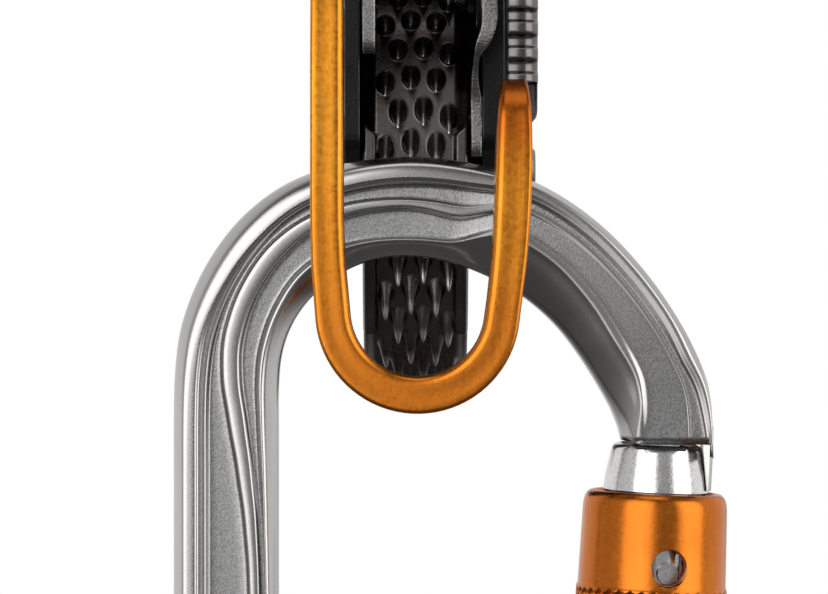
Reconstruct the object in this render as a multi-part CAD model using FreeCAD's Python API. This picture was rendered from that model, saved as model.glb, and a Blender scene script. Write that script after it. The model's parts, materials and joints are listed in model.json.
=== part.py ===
import FreeCAD, Part
import math
import os
from FreeCAD import Rotation, Vector

# Mobile rope grab with an H-section locking carabiner clipped through its arm.
# Millimetres. X along the wheel's axle, -Y is the open front where the rope runs,
# Z up along the rope. Every piece is drawn about the centre of the axle, then moved
# so that the origin is on the rope's axis at the foot of its seat.

# Toothed wheel
TIP_R = 31.5
RIM_R = 29.3
RIM_INNER_R = 24.5
WHEEL_HALF = 6.7
TEETH_HALF = 4.9
ROW_STEP = 8.4
SCREW_ANGLES = (16, 160, 196, 340)
ROWS_PER_GROUP = 21
LUG_R = 30.5
LUG_COUNT = 4
LUG_SPAN = 56

# Axle, frame plates and rope guide
AXLE_R = 4.0
LEFT_PLATE = (-8.9, -7.0)
RIGHT_PLATE = (8.4, 11.1)
ARM_PIVOT = (-20.0, 36.0)
SPACERS = ((6.0, 40.5), (30.0, 26.0), (-9.0, 41.0))
LIGHTENING = (((10.5, 26.0), 6.0), ((22.0, 13.5), 5.0), ((-4.0, 22.5), 5.0))
CATCH_PIVOT = (-40.0, 38.0)
ROPE_X = 1.05
ROPE_Y = -38.8
ROPE_R = 6.0
SEAT_FOOT = 24.5
SEAT_TOP = 45.0

# Gold arm
ARM_Y = -47.35
ARM_HALF_DEPTH = 3.65
ARM_BOTTOM = (0.23, -18.6)
ARM_ARC_R = 10.22
ARM_EYE_R = 7.5

# Carabiner, gate and locking sleeve
BAR_Y = -37.85
BAR_HALF = 5.25
BAR_MID_Z = -55.7
RIVET = Vector(27.93, BAR_Y, -79.1)
GATE_LEAN = 2.58
GATE_R = 6.2
GATE_TOP = 44.4
SLEEVE_TOP = 38.2
SLEEVE_BOTTOM = 6.5


def polar(centre, radius, degrees):
    """Point on a circle in a plane, as a pair."""
    angle = math.radians(degrees)
    return (centre[0] + radius * math.cos(angle), centre[1] + radius * math.sin(angle))


def at_x(pair, x):
    """Place a (Y, Z) pair in the plane at x."""
    return Vector(x, pair[0], pair[1])


def at_y(pair, y):
    """Place an (X, Z) pair in the plane at y."""
    return Vector(pair[0], y, pair[1])


def corner_arc(before, corner, after, radius):
    """Tangent points and middle point of the arc that rounds one corner."""
    c = Vector(corner[0], corner[1], 0)
    to_before = (Vector(before[0], before[1], 0) - c).normalize()
    to_after = (Vector(after[0], after[1], 0) - c).normalize()
    half = to_before.getAngle(to_after) / 2
    reach = radius / math.tan(half)
    inward = (to_before + to_after).normalize()
    middle = c + inward * (radius / math.sin(half) - radius)
    return c + to_before * reach, middle, c + to_after * reach


def rounded_wire(points, place, level):
    """Closed wire through (u, v, radius) corners, placed by at_x or at_y."""
    arcs = []
    count = len(points)
    for i, point in enumerate(points):
        arcs.append(corner_arc(points[i - 1], point, points[(i + 1) % count], point[2]))
    edges = []
    for i, (start, middle, end) in enumerate(arcs):
        trio = [place((p.x, p.y), level) for p in (start, middle, end)]
        edges.append(Part.Arc(*trio).toShape())
        following = arcs[(i + 1) % count][0]
        target = place((following.x, following.y), level)
        if trio[2].distanceToPoint(target) > 1e-6:
            edges.append(Part.makeLine(trio[2], target))
    return Part.Wire(edges)


def plate_x(points, x0, x1):
    """Plate with a rounded (Y, Z) outline between two X levels."""
    return Part.Face(rounded_wire(points, at_x, x0)).extrude(Vector(x1 - x0, 0, 0))


def plate_y(points, y0, y1):
    """Plate with a rounded (X, Z) outline between two Y levels."""
    return Part.Face(rounded_wire(points, at_y, y0)).extrude(Vector(0, y1 - y0, 0))


def rod_x(centre, radius, x0, x1):
    """Solid rod along X through a (Y, Z) centre."""
    return Part.makeCylinder(radius, x1 - x0, at_x(centre, x0), Vector(1, 0, 0))


def tube_x(centre, outer, inner, x0, x1):
    """Tube along X."""
    return rod_x(centre, outer, x0, x1).cut(rod_x(centre, inner, x0 - 1, x1 + 1))


def rod_y(centre, radius, y0, y1):
    """Solid rod along Y through an (X, Z) centre."""
    return Part.makeCylinder(radius, y1 - y0, at_y(centre, y0), Vector(0, 1, 0))


def block(x0, x1, y0, y1, z0, z1):
    """Box between two corners."""
    return Part.makeBox(x1 - x0, y1 - y0, z1 - z0, Vector(x0, y0, z0))


def turned_x(profile, centre=(0, 0)):
    """Solid of revolution about X from an (x, r) outline."""
    points = [Vector(x, centre[0], centre[1] + r) for x, r in profile]
    face = Part.Face(Part.makePolygon(points + points[:1]))
    return face.revolve(at_x(centre, 0), Vector(1, 0, 0), 360)


def turned_gate(profile):
    """Solid of revolution about the upright gate axis from an (r, w) outline."""
    points = [Vector(r, 0, w) for r, w in profile]
    face = Part.Face(Part.makePolygon(points + points[:1]))
    return face.revolve(Vector(0, 0, 0), Vector(0, 0, 1), 360)


def on_gate(shape):
    """Move a shape from the upright gate frame to its leaning place on the body."""
    placed = shape.copy()
    placed.rotate(Vector(0, 0, 0), Vector(0, 1, 0), GATE_LEAN)
    placed.translate(RIVET)
    return placed


def coil(radius, wire_r, pitch, height, origin, axis):
    """Helical spring of eight-sided wire standing on origin along axis."""
    path = Part.makeHelix(pitch, height, radius)
    points = []
    for i in range(9):
        rim = polar((radius, 0), wire_r, 45 * i)
        points.append(Vector(rim[0], 0, rim[1]))
    spring = Part.Wire(path).makePipeShell([Part.makePolygon(points)], True, True)
    spring.Placement = FreeCAD.Placement(origin, Rotation(Vector(0, 0, 1), axis))
    return spring


def fuse_all(shapes):
    """Union of a list of shapes with split faces merged."""
    joined = shapes[0]
    if len(shapes) > 1:
        joined = shapes[0].multiFuse(shapes[1:])
    return joined.removeSplitter()


def skin(sections):
    """Smooth solid through matching rings of points, with flat ends."""
    middles = [sum(ring, Vector()) * (1 / len(ring)) for ring in sections]
    stations = [0.0]
    for before, after in zip(middles, middles[1:]):
        stations.append(stations[-1] + before.distanceToPoint(after))
    rails = []
    for k in range(len(sections[0])):
        curve = Part.BSplineCurve()
        curve.interpolate(Points=[ring[k] for ring in sections], Parameters=stations)
        rails.append(curve.toShape())
    faces = []
    for k, rail in enumerate(rails):
        faces.append(Part.makeRuledSurface(rail, rails[(k + 1) % len(rails)]))
    for ring in (sections[0], sections[-1]):
        faces.append(Part.Face(Part.makePolygon(ring + ring[:1])))
    shell = Part.makeShell(faces)
    shell.sewShape()
    solid = Part.Solid(shell)
    if solid.Volume < 0:
        solid.reverse()
    return solid


# ---- toothed wheel ---------------------------------------------------------

def spike(x, degrees):
    """Raked conical spike whose point leans round the rim."""
    base = polar((0, 0), RIM_R - 0.5, degrees + 178.6)
    tip = polar((0, 0), TIP_R, degrees + 182.0)
    start = at_x(base, x)
    way = at_x(tip, x) - start
    return Part.makeCone(1.3, 0.12, way.Length, start, way)


def spikes():
    """Two groups of staggered rows, three spikes to a row."""
    made = []
    offsets = ((0.9, -0.8, 0.0), (0.0, -0.6, 1.3))
    for group in range(2):
        for row in range(ROWS_PER_GROUP):
            kind = (row + group) % 2
            angle = 20 + 180 * group + ROW_STEP * row
            for column in range(3):
                x = -3.8 + 3.2 * column + 1.6 * kind
                made.append(spike(x, angle + offsets[kind][column]))
    return made


def lug(side, degrees):
    """Long raised band on one flank of the rim."""
    inner = min(side * 4.75, side * (WHEEL_HALF - 0.05))
    outer = max(side * 4.75, side * (WHEEL_HALF - 0.05))
    corners = [polar((0, 0), 28.0, degrees + 180) + (0.4,)]
    for k in range(9):
        corners.append(polar((0, 0), LUG_R, degrees + 181 + (LUG_SPAN - 2) * k / 8) + (0.4,))
    corners.append(polar((0, 0), 28.0, degrees + 180 + LUG_SPAN) + (0.4,))
    corners.append(polar((0, 0), 27.0, degrees + 180 + LUG_SPAN / 2) + (0.4,))
    return plate_x(corners, inner, outer)


def wheel_rim():
    """Cup-shaped rim with web, hub, spikes and flank lugs."""
    half = WHEEL_HALF
    profile = [(-half, RIM_INNER_R), (-half, 28.2), (-TEETH_HALF, RIM_R), (TEETH_HALF, RIM_R),
               (half, 28.2), (half, 12.0), (6.2, 5.1), (0.6, 5.1), (0.6, 8.0), (3.4, 8.6),
               (3.4, RIM_INNER_R - 1), (2.4, RIM_INNER_R)]
    rim = turned_x(profile)
    lugs = []
    for i in range(LUG_COUNT):
        for side in (-1, 1):
            lugs.append(lug(side, -9.7 + 360 / LUG_COUNT * i))
    return fuse_all([rim] + lugs + spikes())


def wheel_cover():
    """Disc that closes the open side of the rim."""
    disc = tube_x((0, 0), RIM_INNER_R - 0.05, 7.4, -6.5, -5.3)
    for i in range(4):
        disc = disc.cut(rod_x(polar((0, 0), 21.8, SCREW_ANGLES[i]), 1.05, -7, -5))
    return disc


def cover_screws():
    """Four small screws through the cover into the web."""
    screws = []
    for i in range(4):
        centre = polar((0, 0), 21.8, SCREW_ANGLES[i])
        screws.append(rod_x(centre, 1.05, -6.5, 3.4))
    return Part.makeCompound(screws)


def wheel_bush():
    """Bronze bush pressed in the hub."""
    return tube_x((0, 0), 5.1, AXLE_R + 0.06, 0.7, 6.1)


def pawl(turn):
    """Centrifugal pawl with a hooked nose and a heavy tail."""
    pivot = (0, 17)
    corners = [(-9.2, 8.4, 0.4), (-6.6, 7.6, 0.4), (-1.0, 13.0, 2.0), (6.0, 13.2, 2.0),
               (12.6, 9.4, 1.5), (17.4, 12.6, 1.5), (10.0, 20.2, 5.0), (1.0, 21.6, 4.0),
               (-4.0, 18.6, 2.5)]
    body = plate_x(corners, -4.6, -0.8)
    body = body.cut(rod_x(pivot, 1.65, -6, 1))
    body.rotate(Vector(0, 0, 0), Vector(1, 0, 0), turn)
    return body


def pawl_pins():
    """Pins that carry the two pawls, from cover to web."""
    return Part.makeCompound([rod_x((0, 17), 1.6, -5.3, 3.4), rod_x((0, -17), 1.6, -5.3, 3.4)])


def pawl_spring(sign):
    """Small coil on a pawl pin."""
    origin = Vector(0.1, 0, 17 * sign)
    return coil(2.3, 0.3, 0.8, 2.4, origin, Vector(1, 0, 0))


# ---- frame -----------------------------------------------------------------

def plate_outline():
    """Side outline shared by both frame plates, as (Y, Z, radius)."""
    return [(-32.3, 2.0, 2.5), (-33.0, 12.0, 3.0), (-33.0, 30.0, 6.0), (-27.5, 46.5, 7.0),
            (14.0, 46.5, 9.0), (38.0, 26.0, 9.0), (33.0, 8.0, 9.0), (8.0, -10.4, 8.0),
            (-8.0, -10.4, 7.0), (-20.0, -4.0, 10.0)]


def plate_holes(plate, x0, x1):
    """Axle, arm axle, spacer and lightening holes of a frame plate."""
    for centre, radius in (((0, 0), AXLE_R), (ARM_PIVOT, 3.0)):
        plate = plate.cut(rod_x(centre, radius, x0 - 1, x1 + 1))
    for centre in SPACERS:
        plate = plate.cut(rod_x(centre, 1.6, x0 - 1, x1 + 1))
    for centre, radius in LIGHTENING:
        plate = plate.cut(rod_x(centre, radius, x0 - 1, x1 + 1))
    return plate


def frame_left():
    """Stamped left plate."""
    x0, x1 = LEFT_PLATE
    plate = plate_holes(plate_x(plate_outline(), x0, x1), x0, x1)
    rim_boss = tube_x((0, 0), 7.5, AXLE_R, x0 - 0.8, x0)
    return fuse_all([plate, rim_boss])


def frame_right():
    """Heavier right plate with a forward ear for the catch and a rail that stops it."""
    x0, x1 = RIGHT_PLATE
    plate = plate_x(plate_outline(), x0, x1)
    ear = plate_x([(-30.0, 30.0, 1.0), (-37.0, 30.5, 4.0), (-46.0, 35.0, 5.0), (-44.0, 44.5, 5.0),
                   (-24.0, 46.5, 1.0)], x0, x1)
    plate = plate_holes(fuse_all([plate, ear]), x0, x1)
    plate = plate.cut(rod_x(CATCH_PIVOT, 1.8, x0 - 1, x1 + 1))
    inner_boss = tube_x((0, 0), 7.5, AXLE_R, 7.0, x0)
    rail = plate_x([(-27.4, 3.0, 0.5), (-27.4, 30.0, 0.5), (-24.8, 30.0, 0.5), (-24.8, 3.0, 0.5)],
                   x1 - 0.5, x1 + 1.5)
    return fuse_all([plate, inner_boss, rail])


def guide_band():
    """Front view of the right guide wall: wide above, waisted, then wide again."""
    left = [(8.05, 46.0), (8.05, 24.0), (8.1, 19.4), (8.2, 17.8), (8.0, 15.7), (7.45, 14.1),
            (7.25, 12.6), (7.1, 11.2), (7.0, 9.5), (6.97, 7.5), (6.97, 0.0)]
    right = [(10.0, 46.0), (10.0, 24.0), (10.0, 19.4), (10.08, 17.6), (9.75, 15.7), (8.9, 14.1),
             (8.05, 12.9), (7.8, 11.8), (7.85, 9.6), (8.2, 7.8), (8.33, 5.3), (8.33, 0.0)]
    wall_y = -41.5
    a = Part.BSplineCurve()
    a.interpolate([Vector(x, wall_y, z) for x, z in left])
    b = Part.BSplineCurve()
    b.interpolate([Vector(x, wall_y, z) for x, z in right])
    top = Part.makeLine(at_y(left[0], wall_y), at_y(right[0], wall_y))
    foot = Part.makeLine(at_y(left[-1], wall_y), at_y(right[-1], wall_y))
    wire = Part.Wire(Part.__sortEdges__([a.toShape(), b.toShape(), top, foot]))
    return Part.Face(wire).extrude(Vector(0, 17.5, 0))


def guide_right():
    """Right wall, cut back below so that it stays behind the carabiner bar."""
    side = [(-41.2, 14.0, 2.5), (-41.2, 29.6, 2.0), (-33.4, 29.6, 0.5), (-33.4, 11.5, 0.5),
            (-26.0, 9.0, 1.0), (-26.0, 1.0, 1.0), (-32.2, 0.5, 2.0), (-32.4, 7.5, 3.0),
            (-36.0, 11.0, 4.0)]
    return guide_band().common(plate_x(side, 6.0, 10.5))


def guide_web():
    """Weld web between the seat's right edge and the wall."""
    web = block(ROPE_X + 6.3, ROPE_X + 7.4, -40.6, -36.0, SEAT_FOOT, 29.2)
    return web.cut(Part.makeCylinder(ROPE_R + 0.05, 60, Vector(ROPE_X, ROPE_Y, 0)))


def guide_left():
    """Left lip beside the teeth."""
    side = [(-40.8, 13.3, 1.5), (-41.2, 45.0, 2.0), (-33.2, 45.0, 0.5), (-33.2, 13.3, 0.5)]
    return plate_x(side, ROPE_X - 7.55, ROPE_X - 6.05)


def guide_saddle():
    """Half-round seat that wraps the back of the rope above the wheel."""
    centre = Vector(ROPE_X, ROPE_Y, SEAT_FOOT)
    seat = Part.makeCylinder(7.1, SEAT_TOP - SEAT_FOOT, centre)
    seat = seat.cut(Part.makeCylinder(ROPE_R + 0.05, 30, centre - Vector(0, 0, 5)))
    seat = seat.cut(block(-20, 20, -60, ROPE_Y, 0, 60))
    return seat


def guide_foot():
    """Bridge from the seat back between the plates, with side flanges."""
    bridge = block(LEFT_PLATE[1] + 0.02, RIGHT_PLATE[0] - 0.02, -33.0, -31.0, 28.0, 42.0)
    left = block(LEFT_PLATE[1] + 0.02, LEFT_PLATE[1] + 1.6, -32.0, -26.5, 28.0, 42.0)
    right = block(RIGHT_PLATE[0] - 1.6, RIGHT_PLATE[0] - 0.02, -32.0, -26.5, 28.0, 42.0)
    keep_out = Part.makeCylinder(ROPE_R + 0.05, 60, Vector(ROPE_X, ROPE_Y, 0))
    return fuse_all([bridge, left, right]).cut(keep_out)


def rope_guide():
    """Folded guide: two walls, a half-round seat and its foot."""
    return fuse_all([guide_saddle(), guide_left(), guide_right(), guide_web(), guide_foot()])


def rear_bridge():
    """Plate that joins the two frame plates behind the wheel."""
    outline = [(31.4, 8.2, 0.4), (31.4, 22.0, 1.0), (33.5, 23.6, 1.0), (33.5, 27.0, 0.4),
               (35.0, 27.0, 0.4), (35.0, 22.9, 1.0), (32.9, 21.3, 1.0), (32.9, 8.2, 0.4)]
    return plate_x(outline, LEFT_PLATE[1], RIGHT_PLATE[0])


def frame_spacers():
    """Tubes that hold the plates apart outside the wheel."""
    tubes = []
    for centre in SPACERS:
        tubes.append(tube_x(centre, 3.2, 1.65, LEFT_PLATE[1], RIGHT_PLATE[0]))
    return Part.makeCompound(tubes)


def frame_rivets():
    """Domed rivets through plates and spacers."""
    rivets = []
    low = LEFT_PLATE[0]
    high = RIGHT_PLATE[1]
    for centre in SPACERS:
        profile = [(low - 1.3, 0), (low - 1.2, 1.6), (low - 0.6, 2.6), (low, 2.9), (low, 1.6),
                   (high, 1.6), (high, 2.9), (high + 0.6, 2.6), (high + 1.2, 1.6), (high + 1.3, 0)]
        rivets.append(turned_x(profile, centre))
    return Part.makeCompound(rivets)


def wheel_axle():
    """Headed axle with a flat drive slot in the head."""
    head = LEFT_PLATE[0] - 0.8
    profile = [(head - 2.2, 0), (head - 2.2, 5.6), (head - 1.4, 6.4), (head, 6.4),
               (head, AXLE_R), (12.0, AXLE_R), (12.0, 3.0), (15.6, 3.0), (16.0, 2.6), (16.0, 0)]
    axle = turned_x(profile)
    return axle.cut(block(head - 3, head - 1.2, -0.8, 0.8, -7, 7))


def axle_nut():
    """Flanged hexagon nut on the right end of the axle."""
    hexagon = Part.Face(Part.makePolygon(
        [at_x(polar((0, 0), 6.0, 60 * i), 12.3) for i in range(7)]))
    body = hexagon.extrude(Vector(3.0, 0, 0))
    flange = turned_x([(11.1, 0), (11.1, 7.2), (11.7, 7.2), (12.4, 5.4), (12.4, 0)])
    nut = fuse_all([body, flange])
    nut = nut.cut(rod_x((0, 0), 3.0, 10, 17))
    return nut.cut(rod_x((0, 0), AXLE_R, 10, 12.0))


def ratchet_ring():
    """Fixed ratchet on the axle that the pawls can catch."""
    neck = rod_x((0, 0), 6.6, LEFT_PLATE[1], -4.6)
    points = []
    for i in range(12):
        points.append(at_x(polar((0, 0), 8.9, 30 * i), -4.6))
        points.append(at_x(polar((0, 0), 7.1, 30 * i + 3), -4.6))
        points.append(at_x(polar((0, 0), 7.4, 30 * i + 14), -4.6))
    teeth = Part.Face(Part.makePolygon(points + points[:1])).extrude(Vector(3.8, 0, 0))
    return fuse_all([neck, teeth]).cut(rod_x((0, 0), AXLE_R, -10, 3))


def arm_axle():
    """Axle of the arm across both plates."""
    profile = [(-15.2, 0), (-15.2, 3.6), (-14.6, 4.4), (-13.5, 4.4), (-13.5, 3.0), (12.0, 3.0),
               (12.0, 2.4), (12.8, 2.4), (12.8, 3.0), (13.6, 3.0), (13.9, 2.6), (13.9, 0)]
    return turned_x(profile, ARM_PIVOT)


def arm_axle_clip():
    """Retaining ring in the groove of the arm axle."""
    ring = tube_x(ARM_PIVOT, 4.6, 2.4, 12.0, 12.8)
    y, z = ARM_PIVOT
    return ring.cut(block(11, 14, y - 1.3, y + 1.3, z - 6, z))


def arm_axle_spacer():
    """Tube on the arm axle between the plates."""
    return tube_x(ARM_PIVOT, 4.2, 3.0, LEFT_PLATE[1], RIGHT_PLATE[0])


def catch_pin():
    """Headed pin, pressed in the right plate, that the catch turns on."""
    profile = [(8.5, 0), (8.5, 1.8), (15.3, 1.8), (15.3, 2.8), (15.9, 2.6), (16.3, 1.6),
               (16.3, 0)]
    return turned_x(profile, CATCH_PIVOT)


# ---- gold arm --------------------------------------------------------------

def bar_section(centre, wide, deep, half_w, half_d):
    """Ring of points round the arm's soft-cornered bar."""
    r = 0.5 * min(half_w, half_d)
    ring = []
    for sw, sd in ((1, 1), (-1, 1), (-1, -1), (1, -1)):
        turns = (0, 30, 60, 90) if sw * sd > 0 else (90, 60, 30, 0)
        for turn in turns:
            a = math.radians(turn)
            w = sw * (half_w - r + r * math.cos(a))
            d = sd * (half_d - r + r * math.sin(a))
            ring.append(centre + wide * w + deep * d)
    return ring


def arm_shank_sections():
    """Sections from the eye down to the start of the U."""
    sections = []
    left = Vector(-1, 0, 0)
    bend = ((-24.5, 34.6, 20), (-31.0, 32.4, 22), (-37.0, 29.4, 33), (-42.5, 24.6, 48),
            (-46.2, 18.2, 70), (-47.35, 11.0, 88), (-47.35, 2.0, 90), (-47.35, -7.0, 90))
    for y, z, fall in bend:
        angle = math.radians(fall)
        deep = Vector(0, -math.sin(angle), math.cos(angle))
        x = -11.2 + 0.52 * min(1.0, max(0.0, (34.0 - z) / 16.0))
        depth = ARM_HALF_DEPTH + 1.2 * max(0.0, (z - 18.0) / 17.0)
        sections.append(bar_section(Vector(x, y, z), left, deep, 2.0, depth))
    deep = Vector(0, -1, 0)
    sections.append(bar_section(Vector(-10.5, ARM_Y, -13.0), left, deep, 2.05, ARM_HALF_DEPTH))
    return sections


def arm_u_sections():
    """Sections round the U."""
    sections = []
    deep = Vector(0, -1, 0)
    for i in range(11):
        angle = 180 + 18 * i
        radial = polar((0, 0), 1, angle)
        mid = polar(ARM_BOTTOM, ARM_ARC_R, angle)
        half = 2.1 + 0.12 * math.sin(math.radians(18 * i))
        sections.append(bar_section(at_y(mid, ARM_Y), at_y(radial, 0), deep, half, ARM_HALF_DEPTH))
    return sections


def arm_tip_sections():
    """Sections from the U up the right leg to the hooked tip."""
    sections = []
    right = Vector(1, 0, 0)
    rise = ((11.35, ARM_Y, -12.0, 90, 2.2, 3.65), (11.75, ARM_Y, -4.0, 90, 2.25, 3.65),
            (11.85, ARM_Y, 1.5, 90, 2.25, 3.65), (11.9, -47.1, 4.6, 74, 2.1, 3.3),
            (11.9, -45.5, 6.7, 42, 1.75, 2.4), (11.9, -43.4, 6.7, 6, 1.5, 1.9),
            (11.9, -40.9, 5.1, -20, 1.4, 1.6))
    for x, y, z, angle, half_w, half_d in rise:
        a = math.radians(angle)
        deep = Vector(0, -math.sin(a), math.cos(a))
        sections.append(bar_section(Vector(x, y, z), right, deep, half_w, half_d))
    return sections


def arm_bowl():
    """Rearward saddle under the bar that keeps the carabiner in the arm."""
    saddle = rod_y(ARM_BOTTOM, 11.8, -44.5, -25.0).cut(rod_y(ARM_BOTTOM, 8.6, -50, -20))
    return saddle.cut(block(-20, 20, -60, 0, ARM_BOTTOM[1] - 5.5, 0))


def arm():
    """Gold capture arm: eye, shank, U, hooked tip and saddle."""
    bottom = arm_u_sections()
    shank = skin(arm_shank_sections() + bottom[:1])
    tip = skin(bottom[-1:] + arm_tip_sections())
    eye = rod_x(ARM_PIVOT, ARM_EYE_R, -13.2, -9.2)
    whole = fuse_all([skin(bottom), shank, tip, eye, arm_bowl()])
    return whole.cut(rod_x(ARM_PIVOT, 4.2, -20, -5))


def arm_bush():
    """Plain bush in the arm's eye."""
    return tube_x(ARM_PIVOT, 4.2, 3.06, -13.2, -9.2)


# ---- thumb catch -----------------------------------------------------------

def safety_catch():
    """Ribbed lever that hangs in front of the right plate over the arm's tip."""
    outline = [(-37.4, 3.9, 1.2), (-34.6, 4.6, 1.2), (-35.0, 14.0, 6.0), (-35.6, 34.0, 3.0),
               (-36.0, 42.6, 3.5), (-44.4, 42.6, 3.5), (-43.8, 30.0, 8.0), (-43.2, 9.6, 0.6),
               (-38.0, 9.3, 0.6)]
    lever = plate_x(outline, 11.45, 15.0)
    for i in range(9):
        z = 11.3 + 3.2 * i
        lever = lever.cut(rod_x((-44.9, z), 1.75, 11.0, 15.5))
    lever = lever.cut(rod_x(CATCH_PIVOT, 2.85, 11, 12.9))
    return lever.cut(rod_x(CATCH_PIVOT, 1.86, 11, 16))


def catch_spring():
    """Coil around the catch pin, sunk in the inner face of the catch."""
    return coil(2.3, 0.22, 0.5, 0.8, Vector(11.75, 0, 0) + at_x(CATCH_PIVOT, 0), Vector(1, 0, 0))


# ---- carabiner body --------------------------------------------------------

# Matching points on the outer and inner edge of the upper half, as (X, Z),
# from the middle of the spine over the top to the nose.
BODY_RAILS = (
    ((-29.8, -55.7), (-16.85, -55.7)), ((-29.8, -50.0), (-16.85, -50.0)),
    ((-29.8, -44.0), (-16.85, -44.0)), ((-29.8, -38.0), (-16.85, -38.0)),
    ((-29.8, -32.0), (-16.85, -32.5)), ((-29.65, -26.2), (-16.85, -28.0)),
    ((-28.8, -20.2), (-16.4, -23.7)), ((-26.1, -13.5), (-14.9, -19.8)),
    ((-21.7, -7.4), (-12.3, -16.5)), ((-15.7, -2.85), (-9.0, -14.0)),
    ((-8.4, -0.45), (-5.1, -12.4)), ((-0.6, 0.3), (-0.7, -12.0)),
    ((7.4, -0.6), (4.0, -12.65)), ((15.1, -2.95), (8.6, -14.35)),
    ((22.0, -7.35), (13.2, -16.95)), ((27.6, -12.95), (17.2, -20.5)),
    ((31.8, -18.75), (20.2, -24.4)), ((34.6, -23.9), (22.4, -27.9)),
    ((36.3, -28.6), (24.0, -30.8)), ((36.9, -34.5), (25.3, -34.0)))


def body_profile(width, relief):
    """H-section corners as (distance from outer edge, depth from mid plane)."""
    floor = BAR_HALF - 2.1 * relief
    step = BAR_HALF - 0.9 * relief
    front = [(0.0, 2.2), (1.3, 4.5), (2.1, 5.25), (3.0, 5.2), (3.4, step), (4.3, step),
             (4.8, floor), (width - 2.5, floor), (width - 2.1, 5.1), (width - 1.4, 5.1),
             (width - 0.6, 4.0), (width, 2.0)]
    back = [(d, -y) for d, y in reversed(front)]
    return front + back


def body_section(outer, inner, relief):
    """Closed polygon across the body between two edge points."""
    start = Vector(outer[0], BAR_Y, outer[1])
    across = Vector(inner[0], BAR_Y, inner[1]) - start
    width = across.Length
    across.normalize()
    points = []
    for d, y in body_profile(width, relief):
        points.append(start + across * d + Vector(0, -y, 0))
    return points


def relief_at(i):
    """The pockets fade out before the nose and before the hinge."""
    fade = (1.0, 1.0, 0.75, 0.35, 0.12, 0.03, 0.02)
    return fade[max(0, i - 13)]


def carabiner_body():
    """Forged H-section body with a nose lip above and a hinge tongue below."""
    upper = [body_section(o, i, relief_at(n)) for n, (o, i) in enumerate(BODY_RAILS)]
    lower = []
    for n, (o, i) in reversed(list(enumerate(BODY_RAILS))[1:]):
        flip_o = (o[0], 2 * BAR_MID_Z - o[1])
        flip_i = (i[0], 2 * BAR_MID_Z - i[1])
        lower.append(body_section(flip_o, flip_i, relief_at(n)))
    body = skin(lower + upper)
    return fuse_all([hinge_cut(body), nose_lip()]).cut(rod_y((RIVET.x, RIVET.z), 2.0, -50, -20))


def hinge_cut(body):
    """Clear the room of the gate's cheeks and leave the tongue."""
    centre = (RIVET.x, RIVET.z)
    above = [(14.0, -83.0, 0.5), (30.0, -83.5, 3.0), (42.0, -90.0, 0.5), (42.0, -70.0, 0.5),
             (14.0, -70.0, 0.5)]
    room = fuse_all([plate_y(above, -50, -25), rod_y(centre, 6.7, -50, -25)])
    tongue = rod_y(centre, 5.2, BAR_Y - 2.3, BAR_Y + 2.3)
    neck = block(RIVET.x - 3.6, RIVET.x + 4.6, BAR_Y - 2.3, BAR_Y + 2.3, -86.5, RIVET.z)
    return fuse_all([body.cut(room), tongue, neck])


def nose_lip():
    """Thin wall that stands outside the gate head and stops it."""
    wall = turned_gate([(6.85, 38.6), (7.05, 38.6), (7.1, 46.0), (5.9, 46.0), (6.05, 43.4)])
    wedge = Part.makePolygon([Vector(0, 0, 0), Vector(20, -11, 0), Vector(20, 11, 0), Vector(0, 0, 0)])
    sector = Part.Face(wedge).extrude(Vector(0, 0, 60))
    return on_gate(wall.common(sector))


def gate_rivet():
    """Domed rivet through cheeks and tongue."""
    profile = [(0, 5.8), (1.6, 5.7), (2.5, 5.3), (2.5, 5.05), (2.0, 5.05), (2.0, -5.05),
               (2.5, -5.05), (2.5, -5.3), (1.6, -5.7), (0, -5.8)]
    rivet = turned_gate(profile)
    rivet.rotate(Vector(0, 0, 0), Vector(1, 0, 0), 90)
    rivet.translate(RIVET)
    return rivet


# ---- gate and locking sleeve -----------------------------------------------

def gate():
    """Turned gate barrel with a conical head and a slotted hinge end."""
    profile = [(0, -6.2), (GATE_R, -6.2), (GATE_R, 38.0), (6.5, 38.3), (5.75, 43.2),
               (5.35, 44.0), (4.7, GATE_TOP), (0, GATE_TOP)]
    barrel = turned_gate(profile)
    cheek = Part.makeCylinder(6.2, 20, Vector(0, -10, 0), Vector(0, 1, 0))
    below = block(-10, 10, -10, 10, -8, 0)
    barrel = barrel.cut(below.cut(cheek))
    barrel = barrel.cut(block(-10, 10, -2.6, 2.6, -8, 5.6))
    barrel = barrel.cut(Part.makeCylinder(2.06, 20, Vector(0, -10, 0), Vector(0, 1, 0)))
    barrel = barrel.cut(Part.makeCylinder(1.9, 12.6, Vector(0, 0, 5.5)))
    barrel = barrel.cut(Part.makeCylinder(1.3, 8, Vector(0, 0, 28.5), guide_direction()))
    head = Part.makeCylinder(2.8, 1.35, Vector(0, -6.3, 0), Vector(0, 1, 0))
    tail = Part.makeCylinder(2.8, 1.35, Vector(0, 4.95, 0), Vector(0, 1, 0))
    return on_gate(barrel.cut(head).cut(tail))


def guide_direction():
    """Outward direction of the guide pin, just right of the front."""
    angle = math.radians(12.5)
    return Vector(math.sin(angle), -math.cos(angle), 0)


def gate_guide_pin():
    """Pin in the barrel that steers the sleeve guide."""
    return on_gate(Part.makeCylinder(1.3, 6.9, Vector(0, 0, 28.5), guide_direction()))


def gate_plunger():
    """Plunger that presses on the hinge tongue."""
    return on_gate(turned_gate([(0, 5.5), (1.0, 5.6), (1.8, 6.3), (1.8, 10.0), (0, 10.0)]))


def gate_spring():
    """Coil behind the plunger."""
    return on_gate(coil(1.35, 0.3, 1.3, 7.4, Vector(0, 0, 10.35), Vector(0, 0, 1)))


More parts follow.
